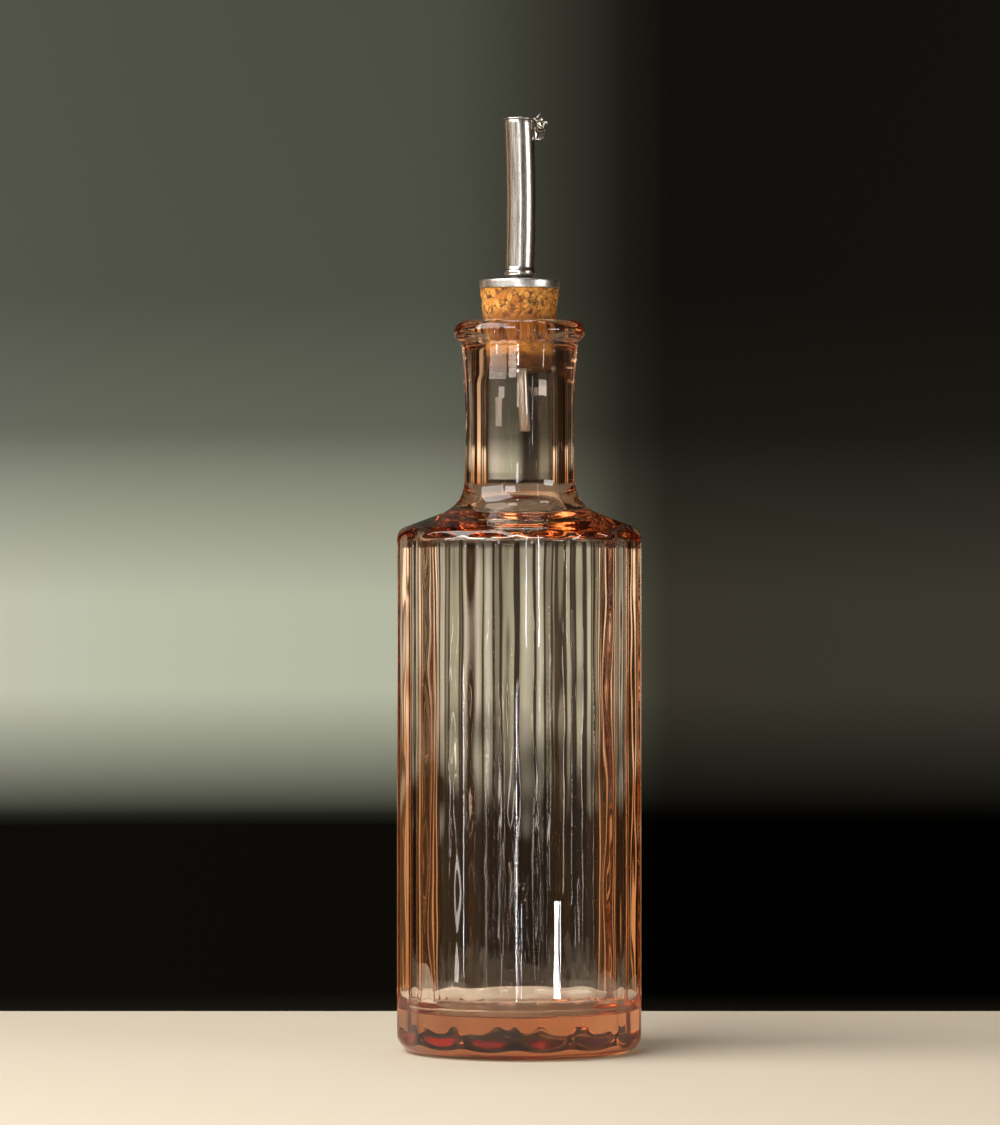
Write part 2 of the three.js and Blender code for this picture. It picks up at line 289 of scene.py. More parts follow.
def glassOutline(g):
    # outside from the base's middle up over the lip, and then down inside to the floor's middle
    wall, heel, ring, rootX = g["ridgeRadius"], g["heel"], g["restRing"], g["neckRoot"]
    pushUp, pushUpLevel = g["pushUp"]
    shoulderZ, shoulderRound, slopeDeg = g["shoulder"]
    slope = math.radians(slopeDeg)
    startX = wall - shoulderRound + shoulderRound * math.sin(slope)
    startZ = shoulderZ + shoulderRound * math.cos(slope)
    rootZ = startZ + (startX - rootX) * math.tan(slope)
    neckX, neckZ = g["neck"]
    cornerZ = rootZ + (rootX - neckX) * math.tan(slope)
    lipX, lipZ, lipRound, lipStart = g["lip"]
    lipFoot = (lipX + lipRound * math.cos(math.radians(lipStart)),
               lipZ + lipRound * math.sin(math.radians(lipStart)))
    throatX, throatZ = g["throat"]
    boreX, boreTop = g["bore"]
    innerX, fillet = g["inner"], g["innerFillet"]
    innerZ, innerRound, innerSlopeDeg = g["innerShoulder"]
    innerSlope = math.radians(innerSlopeDeg)
    floorZ, floorRound = g["floor"]
    innerStart = (innerX - innerRound + innerRound * math.sin(innerSlope),
                  innerZ + innerRound * math.cos(innerSlope))
    innerRootX, aim = g["innerNeckRoot"]
    innerRoot = (innerRootX, innerStart[1] + (innerStart[0] - innerRootX) * math.tan(innerSlope))
    outside = joinOutline(
        curvePoints([(0, pushUp), (pushUpLevel * ring, pushUp), (ring, 0)], 8),
        linePoints((ring, 0), (wall - heel, 0), 3),
        arcPoints(wall - heel, heel, heel, heel, -90, 0, 14),
        linePoints((wall, heel), (wall, shoulderZ - g["shoulderGap"]), 40),
        arcPoints(wall - shoulderRound, shoulderZ, shoulderRound, shoulderRound, 0, 90 - slopeDeg, 20),
        linePoints((startX, startZ), (rootX, rootZ), 8),
        curvePoints([(rootX, rootZ), (neckX, cornerZ), (neckX, neckZ)], 14),
        curvePoints([(neckX, neckZ), *g["neckWaist"], lipFoot], 28),
        arcPoints(lipX, lipZ, lipRound, lipRound, lipStart, 90, 20),
    )
    inside = joinOutline(
        arcPoints(lipX, throatZ, lipX - throatX, lipZ + lipRound - throatZ, 90, 180, 14),
        curvePoints([(throatX, throatZ), (throatX, (throatZ + boreTop) / 2), (boreX, boreTop)], 10),
        linePoints((boreX, boreTop), (boreX, fillet), 18),
        curvePoints([(boreX, fillet), (boreX, innerRoot[1] + aim), innerRoot], 12),
        linePoints(innerRoot, innerStart, 8),
        arcPoints(innerX - innerRound, innerZ, innerRound, innerRound, 90 - innerSlopeDeg, 0, 10),
        linePoints((innerX, innerZ), (innerX, floorZ + floorRound), 60),
        arcPoints(innerX - floorRound, floorZ + floorRound, floorRound, floorRound, 0, -90, 12),
        linePoints((innerX - floorRound, floorZ), (0, floorZ), 8),
    )
    return outside, inside[1:]


def ridgeAngles(g):
    # angles that crowd towards each ridge: t over one flute runs from -1 to 1, and the offset is a blend of t
    # and its cube
    half = math.pi / g["flutes"]
    t = np.arange(g["columns"]) * 2 / g["columns"] - 1
    offset = half * ((1 - g["crowding"]) * t + g["crowding"] * t**3)
    ridges = math.radians(g["firstRidge"]) + 2 * half * np.arange(g["flutes"])
    return (ridges[:, None] + offset[None, :]).ravel(), np.tile(offset, g["flutes"])


def fluteRadius(g, offset):
    # panel: its distance from the axis over the cosine from its middle, less a dip of the square of one minus
    # the squared way to the ridge; ridge: circle of the rounding's radius
    half = math.pi / g["flutes"]
    wall, rounding = g["ridgeRadius"], g["ridgeRounding"]
    panel = wall * math.cos(half) / np.cos(half - np.abs(offset))
    centre = wall - rounding / math.cos(half)
    inArc = np.clip(rounding**2 - (centre * np.sin(offset)) ** 2, 0, None)
    ridge = centre * np.cos(offset) + np.sqrt(inArc)
    tangent = math.atan2(rounding * math.sin(half), centre + rounding * math.cos(half))
    way = np.clip((half - np.abs(offset)) / (half - tangent), 0, 1)
    hollow = g["panelHollow"] * (1 - way**2) ** 2
    return np.where(np.abs(offset) < tangent, ridge, panel - hollow)


def softMin(a, b, k):
    # lower of two values, rounded over a width k where they meet
    h = np.clip(0.5 + 0.5 * (b - a) / k, 0, 1)
    return b * (1 - h) + a * h - k * h * (1 - h)


def glassRipples(g, angles, heights):
    # sum of cosine waves of whole-number turns round and random lengths up, seeded
    rng = np.random.default_rng(g["seed"])
    total = np.zeros((len(angles), len(heights)))
    for turns in g["waveTurns"]:
        lengthUp = rng.uniform(*g["waveLengths"])
        phase = rng.uniform(0, 2 * np.pi, 2)
        sway = g["waveSwing"] * np.cos(2 * np.pi * heights / lengthUp + phase[1])
        total += np.cos(turns * angles[:, None] + phase[0] + sway[None, :]) / np.sqrt(turns)
    return total * g["waveDepth"]


def makeGlass(g):
    # outer and inner walls turned round the axis: the outer is the lower of outline and flutes, the inner has
    # ribs and ripples that fade out in the neck; the streaky field is 0 on the ridges and 1 on the panels
    angles, offset = ridgeAngles(g)
    outside, inside = glassOutline(g)
    half = math.pi / g["flutes"]
    panel = fluteRadius(g, offset)
    outer = turnOutline(outside, angles)
    limited = softMin(outside[None, :, 0], panel[:, None], g["edgeSoftness"])
    inBody = outside[:, 0] > g["flutedFrom"] * g["ridgeRadius"] * math.cos(half)
    radius = np.where(inBody[None, :], limited, outside[None, :, 0])
    outer[..., 0] = radius * np.cos(angles)[:, None]
    outer[..., 1] = radius * np.sin(angles)[:, None]
    inner = turnOutline(inside, angles)
    fade = np.clip((inside[:, 0] - g["bore"][0]) / (g["inner"] - g["bore"][0]), 0, 1) ** 2
    ribs = -g["innerRib"] * np.cos(g["flutes"] * offset)
    shift = (glassRipples(g, angles, inside[:, 1]) + ribs[:, None]) * fade[None, :]
    radius = inside[None, :, 0] + shift
    inner[..., 0] = radius * np.cos(angles)[:, None]
    inner[..., 1] = radius * np.sin(angles)[:, None]
    crest, bare = g["crest"]
    streaky = np.full((len(angles), outer.shape[1] + inner.shape[1]), g["innerStreaks"])
    streaky[:, :outer.shape[1]] = np.clip(np.abs(offset) / (crest * half) - bare, 0, 1)[:, None]
    return gridObject("bottle_glass", np.concatenate([outer, inner], axis=1), fields={"streaky": streaky})


glassLook = {
    "index": 1.52,
    "tint": "#ecaf3f",
    "tintDensity": 40.0,                   # each metre takes this times one less the tint
    "streak": (2.4, 36, 1.2),              # mm across and along, detail
    "streakDepth": 0.017,                  # mm
    "patch": (11, 45, 0.0),                # stretches of stronger and weaker streaks
    "patchBand": (0.4, 0.66, 0.35, 1.0),
    "footBand": (12, 24, 0.15, 1.0),       # streaks set in between these heights
    "shoulderBand": (141, 132, 0.25, 1.0),
}


def tintedGlass(k):
    # moulded soda-lime glass with a rose-amber tint: nearly clear where thin, copper where thick, with faint
    # drawn-out streaks in its skin that break up straight reflections
    material, tree, shader = newMaterial("moulded_rose_glass", {
        "Base Color": linear("#ffffff"), "Roughness": 0.0, "IOR": k["index"], "Transmission Weight": 1.0})
    spot = objectSpot(tree)
    height = partsOf(tree, spot)["Z"]
    lower = heightBand(tree, height, *k["footBand"])
    upper = heightBand(tree, height, *k["shoulderBand"])
    patch = remap(tree, stretchedNoise(tree, spot, *k["patch"]), *k["patchBand"])
    onPanel = product(tree, product(tree, lower, upper), fieldOf(tree, "streaky"))
    skin = addNode(tree, "ShaderNodeBump", {"Distance": k["streakDepth"] * mm},
                   Strength=product(tree, onPanel, patch), Height=stretchedNoise(tree, spot, *k["streak"]))
    tree.links.new(skin.outputs["Normal"], shader.inputs["Normal"])
    tint = addNode(tree, "ShaderNodeVolumeAbsorption", {"Color": linear(k["tint"]),
                                                        "Density": k["tintDensity"]})
    tree.links.new(tint.outputs[0], tree.get_output_node("ALL").inputs["Volume"])
    return material


bottle = makeGlass(glass)
place(bottle, tintedGlass(glassLook), "bottle", "glass_bottle")
print("glass bottle:", len(bottle.data.polygons), "faces")

# cork
corkShape = {
    "bottom": 191.8,
    "top": 213.3,
    "bottomRadius": 9.0,
    "topRadius": 11.05,
    "chamfer": 0.6,
    "hole": 3.6,
    "columns": 320,
    "sideRows": (22, 120),   # rows of the outline that lie on its side
    "granule": 1.45,         # mm between granule centres
    "crowding": 2.2,         # how many centres are strewn for each granule's square, some of them hidden
    "overlap": 1.0,          # mm above and below the cork that centres may lie
    "seedDepth": 1.2,        # mm inside the side that centres may lie
    "underDepth": 0.3,       # mm above the lower end for the centres there
    "wander": 0.16,          # mm, how crooked the joints are
    "wanderWaves": (4.1, 8.3),         # radians for each mm, coarse and fine
    "fineShare": 0.6,        # of the fine wander to the coarse
    "jointWidth": 0.34,      # mm
    "jointReach": 1.15,      # above 1, so that a joint has a flat bottom
    "gape": (0.62, 0.8, 0.25),         # middle, swing and least of the joints' opening
    "gapeWaves": (1.5, 0.55, 0.9),     # radians for each mm up, of the bend and across
    "gapeBend": 2.2,
    "granuleEdge": 0.5,      # mm over which a granule falls to its joint
    "crevice": 0.22,         # mm deep joints between granules
    "unevenness": 0.10,      # mm a granule stands in or out
    "standOut": 0.1,         # mm, the most that any of it stands out
    "pit": (0.95, 0.8, 0.35),   # tone from which a granule is a pit, its size and depth in mm
    "seed": 5,
}


def nearestTwo(points, seeds, block=4096):
    # distance to the nearest and second nearest seed of each point, and which seed is nearest, block by block
    first = np.empty(len(points))
    second = np.empty(len(points))
    owner = np.empty(len(points), int)
    for start in range(0, len(points), block):
        part = slice(start, start + block)
        d = np.linalg.norm(points[part, None, :] - seeds[None, :, :], axis=2)
        two = np.partition(d, 1, axis=1)[:, :2]
        first[part], second[part] = two[:, 0], two[:, 1]
        owner[part] = d.argmin(axis=1)
    return first, second, owner


def makeCork(c):
    # tapered outline turned round the axis; a point belongs to its nearest seed, which sets it in or out, and
    # it sinks into a joint where the two nearest seeds are about as far
    rng = np.random.default_rng(c["seed"])
    hole, bottom, top, chamfer = c["hole"], c["bottom"], c["top"], c["chamfer"]
    bottomX, topX = c["bottomRadius"], c["topRadius"]
    outline = joinOutline(
        linePoints((hole, bottom), (bottomX - chamfer, bottom), 20),
        linePoints((bottomX - chamfer, bottom), (bottomX, bottom + chamfer), 4),
        linePoints((bottomX, bottom + chamfer), (topX, top), 96),
        linePoints((topX, top), (hole, top), 12),
        linePoints((hole, top), (hole, bottom), 6)[:-1],
    )
    grid = turnOutline(outline, evenAngles(c["columns"]))
    count = int(c["crowding"] * np.pi * topX * (top - bottom) / c["granule"] ** 2)
    seedAngle = rng.uniform(0, 2 * np.pi, count)
    seedZ = rng.uniform(bottom - c["overlap"], top + c["overlap"], count)
    seedX = np.interp(seedZ, [bottom, top], [bottomX, topX]) - rng.uniform(0, c["seedDepth"], count)
    under = rng.uniform(hole, bottomX, count // 4)
    underAngle = rng.uniform(0, 2 * np.pi, count // 4)
    underZ = np.full(count // 4, bottom + c["underDepth"])
    seeds = np.concatenate([
        np.stack([seedX * np.cos(seedAngle), seedX * np.sin(seedAngle), seedZ], axis=1),
        np.stack([under * np.cos(underAngle), under * np.sin(underAngle), underZ], axis=1),
    ])
    points = grid.reshape(-1, 3)
    coarse, fine = c["wanderWaves"]
    wander = np.sin(points[:, [1, 2, 0]] * coarse + 1)
    wander = wander + c["fineShare"] * np.sin(points[:, [2, 0, 1]] * fine + 2)
    first, second, owner = nearestTwo(points + c["wander"] * wander, seeds)
    tone = rng.uniform(0, 1, len(seeds))
    stand = rng.normal(0, 1, len(seeds)) * c["unevenness"]
    # joints gape in some patches and are nearly shut in others
    x, y, z = points.T
    upWave, bendWave, acrossWave = c["gapeWaves"]
    patch = np.sin(z * upWave + c["gapeBend"] * np.sin(x * bendWave)) * np.sin(x * acrossWave + y)
    middle, swing, least = c["gape"]
    gape = np.clip(middle + swing * patch, least, 1)
    joint = np.clip(c["jointReach"] - (second - first) / c["jointWidth"], 0, 1) * gape
    pitTone, pitSize, pitDepth = c["pit"]
    pit = (tone[owner] > pitTone) * np.clip(1 - first / pitSize, 0, 1)
    raised = stand[owner] * np.clip((second - first) / c["granuleEdge"], 0, 1)
    depth = raised - c["crevice"] * joint - pitDepth * pit
    outward = points.copy()
    outward[:, 2] = 0
    outward /= np.linalg.norm(outward, axis=1, keepdims=True)
    onSide = np.zeros(grid.shape[:2])
    onSide[:, slice(*c["sideRows"])] = 1
    moved = points + outward * (np.minimum(depth, c["standOut"]) * onSide.ravel())[:, None]
    fields = {"granuleTone": tone[owner], "jointDepth": np.clip(joint + pit, 0, 1)}
    return gridObject("cork_stopper", moved.reshape(grid.shape), loopAlong=True, fields=fields)


corkLook = {
    "tones": ((0.0, "#b06420"), (0.25, "#d0822e"), (0.65, "#e0963e"), (0.94, "#ecac54"), (1.0, "#7a4414")),
    "fleck": (0.5, 4.0, 0.7),                         # mm, detail, roughness of the noise
    "fleckBand": (0.35, 0.68, 0.55, 1.25),
    "fleckRelief": (0.5, 0.15),                       # strength, mm
    "joint": "#3c1e0a",
    # painted light: the cork is lightened inside the neck, where the glass keeps the lamps' light off it
    "fresh": ("#f2b04c", (200.4, 198.4, 0.0, 0.4)),   # colour, then from and to height in mm with the amounts
    "oil": ("#5a2f12", (196.0, 194.4, 0.0, 0.85)),
    # darker band on the cork just above the glass lip
    "darkBand": ("#7c4418", (207.8, 205.6, 0.0, 0.55)),
    "darkBandFrom": 202.9,                               # mm, none of it shows below this height
    "roughness": 0.85,
}


def pressedCork(k):
    # agglomerated cork: tan granules glued together, dark joints, browned by oil at the lower end
    material, tree, shader = newMaterial("pressed_granule_cork", {"Roughness": k["roughness"]})
    spot = objectSpot(tree)
    height = partsOf(tree, spot)["Z"]
    size, detail, roughness = k["fleck"]
    fleck = addNode(tree, "ShaderNodeTexNoise", {"Scale": 1 / (size * mm), "Detail": detail,
                                                 "Roughness": roughness}, Vector=spot).outputs["Fac"]
    colour = rampColour(tree, fieldOf(tree, "granuleTone"), k["tones"])
    colour = mixColours(tree, 1.0, colour, remap(tree, fleck, *k["fleckBand"]), "MULTIPLY")
    colour = mixColours(tree, fieldOf(tree, "jointDepth"), colour, linear(k["joint"]))
    # painted light lightens the cork inside the neck, and oil browns its lower end
    for stainAndPaintedLight, band in (k["fresh"], k["oil"]):
        colour = mixColours(tree, heightBand(tree, height, *band), colour, linear(stainAndPaintedLight))
    # the cork is darker in a band just above the glass lip
    stainAndPaintedLight, band = k["darkBand"]
    above = addNode(tree, "ShaderNodeMath", {"operation": "GREATER_THAN", 1: k["darkBandFrom"] * mm}, in0=height)
    darkBand = product(tree, heightBand(tree, height, *band), above.outputs[0])
    colour = mixColours(tree, darkBand, colour, linear(stainAndPaintedLight))
    strength, depth = k["fleckRelief"]
    bump = addNode(tree, "ShaderNodeBump", {"Strength": strength, "Distance": depth * mm}, Height=fleck)
    tree.links.new(colour, shader.inputs["Base Color"])
    tree.links.new(bump.outputs["Normal"], shader.inputs["Normal"])
    return material


stopper = makeCork(corkShape)
place(stopper, pressedCork(corkLook), "bottle", "cork")
print("cork:", len(stopper.data.polygons), "faces")

# steel parts: roughness, then size across, along and depth of the fine lines in mm
steels = {
    # soft grey sheen with fine rings round it
    "satin_turned_steel": {"roughness": 0.32, "lines": (1.2, 0.05), "depth": 0.01, "colour": "#d5d1cb"},
    # bright, with long blurred reflections up the tube
    "polished_drawn_steel": {"roughness": 0.25, "lines": (0.25, 12.0), "depth": 0.0006, "colour": "#c6c0b8"},
    # duller and paler, with lines up the tube
    "drawn_tube_steel": {"roughness": 0.34, "lines": (0.2, 6.0), "depth": 0.001, "colour": "#dcd8ce"},
    # sharp glints on small bent edges
    "pressed_strip_steel": {"roughness": 0.16, "lines": (0.4, 3.0), "depth": 0.002, "colour": "#b9b1a8"},
}
steelLines = {"detail": 3.0, "band": (0.3, 0.7), "duller": (0.75, 1.3), "strength": 0.6}


def drawnSteel(name, k):
    # stainless steel: fine lines left by drawing or turning vary its gloss and its relief
    look = steels[name]
    material, tree, shader = newMaterial(name, {"Base Color": linear(look["colour"]), "Metallic": 1.0})
    lines = stretchedNoise(tree, objectSpot(tree), *look["lines"], k["detail"])
    rough = remap(tree, lines, *k["band"], *(share * look["roughness"] for share in k["duller"]))
    bump = addNode(tree, "ShaderNodeBump", {"Strength": k["strength"], "Distance": look["depth"] * mm},
                   Height=lines)
    tree.links.new(rough, shader.inputs["Roughness"])
    tree.links.new(bump.outputs["Normal"], shader.inputs["Normal"])
    return material


disc = {"radius": 11.25, "bottom": 213.4, "top": 215.9, "rounding": 0.5, "underRounding": 0.2, "hole": 3.55}


def makeDisc(d):
    # flat ring with a rounded rim: outline of the ring's section turned round the axis
    radius, hole, bottom, top = d["radius"], d["hole"], d["bottom"], d["top"]
    rounding, under = d["rounding"], d["underRounding"]
    outline = joinOutline(
        linePoints((hole, bottom), (radius - under, bottom), 4),
        arcPoints(radius - under, bottom + under, under, under, -90, 0, 4),
        linePoints((radius, bottom + under), (radius, top - rounding), 4),
        arcPoints(radius - rounding, top - rounding, rounding, rounding, 0, 90, 8),
        linePoints((radius - rounding, top), (hole, top), 8),
        linePoints((hole, top), (hole, bottom), 2)[:-1],
    )
    return gridObject("cap_disc_turned", turnOutline(outline, evenAngles(160)), loopAlong=True)


cap = makeDisc(disc)
place(cap, drawnSteel("satin_turned_steel", steelLines), "bottle", "cap_disc")

spout = {
    "radius": 4.12, "wall": 0.5, "top": 260.6, "foot": 218.6, "edge": 0.12,
    "shank": 3.5, "shankTop": 216.9, "shankBottom": 191.8,
    "bead": (4.35, 217.8),   # radius, height
    "bow": 0.52,             # mm aside at mid-height
    "lean": -0.2,            # mm aside at the top
}


def spoutOffset(s, z):
    # centreline: parabola over the free length plus a straight lean
    t = np.clip((z - s["shankTop"]) / (s["top"] - s["shankTop"]), 0, None)
    return s["bow"] * 4 * t * (1 - t) + s["lean"] * t


def makeSpout(s):
    # shank, bead and tube up the outside and back down the bore, turned round the axis and moved aside by the
    # centreline at each height
    radius, shank, edge, top, foot = s["radius"], s["shank"], s["edge"], s["top"], s["foot"]
    shankTop, shankBottom = s["shankTop"], s["shankBottom"]
    bore, shankBore = radius - s["wall"], shank - s["wall"]
    beadX, beadZ = s["bead"]
    outline = joinOutline(
        linePoints((shank, shankBottom), (shank, shankTop), 6),
        curvePoints([(shank, shankTop), (beadX, shankTop), (beadX, beadZ)], 8),
        curvePoints([(beadX, beadZ), (beadX, foot), (radius, foot)], 8),
        linePoints((radius, foot), (radius, top - edge), 40),
        arcPoints(radius - edge, top - edge, edge, edge, 0, 90, 4),
        arcPoints(bore + edge, top - edge, edge, edge, 90, 180, 4),
        linePoints((bore, top - edge), (bore, foot), 40),
        linePoints((bore, foot), (shankBore, shankTop), 4),
        linePoints((shankBore, shankTop), (shankBore, shankBottom), 6),
        linePoints((shankBore, shankBottom), (shank, shankBottom), 1)[:-1],
    )
    grid = turnOutline(outline, evenAngles(128))
    grid[..., 0] += spoutOffset(s, grid[..., 2])
    return gridObject("spout_polished", grid, loopAlong=True)


polishedSteel = drawnSteel("polished_drawn_steel", steelLines)
tube = makeSpout(spout)
place(tube, polishedSteel, "bottle", "spout_tube")

vent = {
    "radius": 1.5, "wall": 0.4, "bottom": 173.6, "top": 225.0,
    "bottomX": 1.5, "topX": -0.77, "setBack": 1.2,
}


def makeVent(v):
    # straight tube whose axis leans from the bottom point to the top point: place along it is an even blend
    radius, bore = v["radius"], v["radius"] - v["wall"]
    outline = joinOutline(
        linePoints((radius, 0), (radius, 1), 10),
        linePoints((radius, 1), (bore, 1), 1),
        linePoints((bore, 1), (bore, 0), 10),
        linePoints((bore, 0), (radius, 0), 1)[:-1],
    )
    grid = turnOutline(outline, evenAngles(64))
    t = grid[..., 2].copy()
    grid[..., 2] = v["bottom"] + (v["top"] - v["bottom"]) * t
    grid[..., 0] += v["bottomX"] + (v["topX"] - v["bottomX"]) * t
    grid[..., 1] += v["setBack"]
    return gridObject("vent_tube_drawn", grid, loopAlong=True)


airTube = makeVent(vent)
place(airTube, drawnSteel("drawn_tube_steel", steelLines), "bottle", "vent_tube")
print("disc, spout and vent done")

# hinge and flap
hinge = {
    "x": 5.9, "z": 259.3,
    "lug": ((4.1, 258.6), (4.25, 255.1), (5.8, 255.1), (6.58, 255.45), (6.9, 256.2), (6.75, 259.3)),
    "lugThickness": 0.8, "lugEye": 0.85, "hole": 0.52, "edge": 0.14,
    "pin": 0.42, "pinHead": 0.75, "pinHalf": 1.2, "headHeight": 0.3,
    "ear": 1.1, "earThickness": 0.5, "earY": 0.8,
    "arm": ((4.0, 260.75), (6.6, 260.75), (6.6, 261.25), (4.0, 261.25)),
    "tail": ((6.2, 259.775), (7.9, 259.775), (7.9, 260.225), (6.2, 260.225)),
    "lid": (4.35, 260.75, 0.5, 0.25),     # radius, underside, thickness, dome
    "lean": -0.2,                         # mm aside, as the spout's top
    "lever": ((4.75, 260.9), (5.15, 261.9), (6.15, 262.65)),
    "leverWidth": 2.1, "leverThickness": 0.4, "leverTaper": 0.3,
}


def reachOf(centre, corners, angles):
    # how far a ray from the centre runs, at each angle, to its last crossing with the outline, 0 if none:
    # distance = cross(corner, side) / cross(ray, side), kept where the crossing lies within the side
    tiny = 1e-9
    a = np.array(corners) - centre
    side = np.roll(a, -1, axis=0) - a
    ray = np.stack([np.cos(angles), np.sin(angles)], axis=1)[:, None, :]
    turn = ray[..., 0] * side[:, 1] - ray[..., 1] * side[:, 0]
    turn = np.where(np.abs(turn) < tiny, tiny, turn)
    far = (a[:, 0] * side[:, 1] - a[:, 1] * side[:, 0]) / turn
    along = (a[:, 0] * ray[..., 1] - a[:, 1] * ray[..., 0]) / turn
    ok = (far > 0) & (along >= 0) & (along <= 1)
    return np.where(ok, far, 0).max(axis=1)


def crossways(grid, x, y, z):
    # a shape turned about its own axis, laid with that axis along Y
    return np.stack([grid[..., 0] + x, y - grid[..., 2], grid[..., 1] + z], axis=2)


def eyePlate(name, h, shapes, eye, thickness, y):
    # plate round the pin's hole: its outline is the furthest of the eye and the shapes at each angle, and its
    # edge is a quarter circle on both faces
    angles = evenAngles(240)
    centre = np.array([h["x"], h["z"]])
    reach = np.max([np.full(len(angles), eye)] + [reachOf(centre, s, angles) for s in shapes], axis=0)
    smooth = sum(np.roll(reach, k) for k in (-1, 0, 1)) / 3
    half, edge = thickness / 2, h["edge"]
    rim = np.concatenate([arcPoints(-edge, edge - half, edge, edge, -90, 0, 4),
                          arcPoints(-edge, half - edge, edge, edge, 0, 90, 4)])
    hole = np.full((len(angles), 1), h["hole"])
    r = np.concatenate([hole, smooth[:, None] + rim[None, :, 0], hole], axis=1)
    w = np.concatenate([[-half], rim[:, 1], [half]])
    grid = np.stack([r * np.cos(angles)[:, None], r * np.sin(angles)[:, None],
                     np.broadcast_to(w, r.shape)], axis=2)
    return gridObject(name, crossways(grid, h["x"], y, h["z"]), loopAlong=True)


def makePin(h):
    # shaft with a low domed head at each end, turned about the hinge's axis
    half, head, dome = h["pinHalf"], h["pinHead"], h["headHeight"]
    outline = joinOutline(
        arcPoints(0, -half, head, dome, -90, 0, 8),
        linePoints((head, -half), (h["pin"], -half), 1),
        linePoints((h["pin"], -half), (h["pin"], half), 4),
        linePoints((h["pin"], half), (head, half), 1),
        arcPoints(0, half, head, dome, 0, 90, 8),
    )
    return gridObject("hinge_pin_riveted", crossways(turnOutline(outline, evenAngles(48)), h["x"], 0, h["z"]))


def makeLid(h):
    # shallow dome with a rounded rim, turned about the spout's axis
    radius, under, thick, dome = h["lid"]
    rim, crown = thick / 2, under + thick + dome
    outline = joinOutline(
        linePoints((0, under), (radius - rim, under), 6),
        arcPoints(radius - rim, under + rim, rim, rim, -90, 90, 10),
        curvePoints([(radius - rim, under + thick), (radius / 2, crown), (0, crown)], 10),
    )
    grid = turnOutline(outline, evenAngles(96))
    grid[..., 0] += h["lean"]
    return gridObject("flap_lid_pressed", grid)


def signedRoot(v):
    # square root that keeps the sign, which squares up a circle's cosine and sine
    return np.sign(v) * np.abs(v) ** 0.5


def makeLever(h):
    # curved thumb tab: rounded oblong sections stand across a bent centreline, and close to a point at each
    # end by the root of one minus the sixth power of the way from the middle
    steps = 24
    t = np.linspace(0, 1, steps + 1)
    path = curvePoints(h["lever"], steps)
    ahead = np.gradient(path, axis=0)
    ahead /= np.linalg.norm(ahead, axis=1, keepdims=True)
    close = (1 - np.abs(2 * t - 1) ** 6) ** 0.5
    a = evenAngles(48)
    width = h["leverWidth"] / 2 * (1 - h["leverTaper"] * t**2) * close
    across = signedRoot(np.cos(a))[:, None] * width[None, :]
    through = signedRoot(np.sin(a))[:, None] * (h["leverThickness"] / 2 * close)[None, :]
    grid = np.stack([path[None, :, 0] + through * ahead[None, :, 1], across,
                     path[None, :, 1] - through * ahead[None, :, 0]], axis=2)
    return gridObject("flap_lever_bent", grid[::-1])


stripSteel = drawnSteel("pressed_strip_steel", steelLines)
lug = eyePlate("hinge_lug_pressed", hinge, [hinge["lug"]], hinge["lugEye"], hinge["lugThickness"], 0)
place(lug, stripSteel, "bottle", "hinge_lug")
pin = makePin(hinge)
place(pin, stripSteel, "bottle", "hinge_pin")
for name, y in (("flap_ear_near", -hinge["earY"]), ("flap_ear_far", hinge["earY"])):
    ear = eyePlate(name, hinge, [hinge["arm"], hinge["tail"]], hinge["ear"], hinge["earThickness"], y)
    place(ear, stripSteel, "flap", "flap")
place(makeLid(hinge), polishedSteel, "flap", "flap")
place(makeLever(hinge), stripSteel, "flap", "flap")
print("hinge and flap done")

# table
tableShape = {
    "half": 0.3,               # metres to either side
    "back": 0.137,             # metres behind the bottle's axis
    "front": 0.24,
    "thickness": 0.03,
    "below": 0.05,             # mm between its top and the bottle's base
    "rim": 0.003,              # rounding of its edges
    "rimSteps": 4,
    "colour": "#dfd1ba",
    "roughness": 0.6,
}


def makeTable(s):
    # slab of eight corners with bevelled edges, its top a hair below the bottle's base
    top = -s["below"] * mm
    corners = [(x, y, z) for z in (top - s["thickness"], top) for y in (-s["front"], s["back"])
               for x in (-s["half"], s["half"])]
    faces = [(0, 2, 3, 1), (4, 5, 7, 6), (0, 1, 5, 4), (2, 6, 7, 3), (0, 4, 6, 2), (1, 3, 7, 5)]
    mesh = bpy.data.meshes.new("pale_table")
    mesh.from_pydata(corners, [], faces)
    table = bpy.data.objects.new("pale_table", mesh)
    collection.objects.link(table)
    rim = table.modifiers.new("rim", "BEVEL")
    rim.width = s["rim"]
    rim.segments = s["rimSteps"]
    # matt painted board: an even pale ground with soft shadows
    material = newMaterial("pale_table", {"Base Color": linear(s["colour"]), "Roughness": s["roughness"]})[0]
    mesh.materials.append(material)


makeTable(tableShape)

# lights: degrees right of the viewer, degrees up, metres away, metres wide, metres high, watts
lamps = {
    "left_key": (-62, 42, 0.9, 0.8, 0.8, 11),
    "front_fill": (-20, 30, 0.9, 0.3, 0.3, 2.7),
    "overhead": (180, 78, 0.9, 0.3, 0.3, 1.3),
    "left_strip": (-46, -7.5, 0.9, 0.022, 0.16, 0.5),
    "right_strip": (48, -5, 0.9, 0.015, 0.13, 0.13),
    "front_strip": (-3.3, -7.2, 1.3, 0.016, 0.22, 2.6),
    "near_strip": (17, -10, 1.2, 0.009, 0.10, 0.14),
    "spout_glow": (62, 12, 0.9, 0.34, 0.14, 1.4),
    "spout_line": (-5, 9, 1.2, 0.10, 0.14, 0.45),
    "neck_line": (26, 1.2, 1.2, 0.008, 0.12, 0.1),
}
lampAim = (0, 0, 0.13)


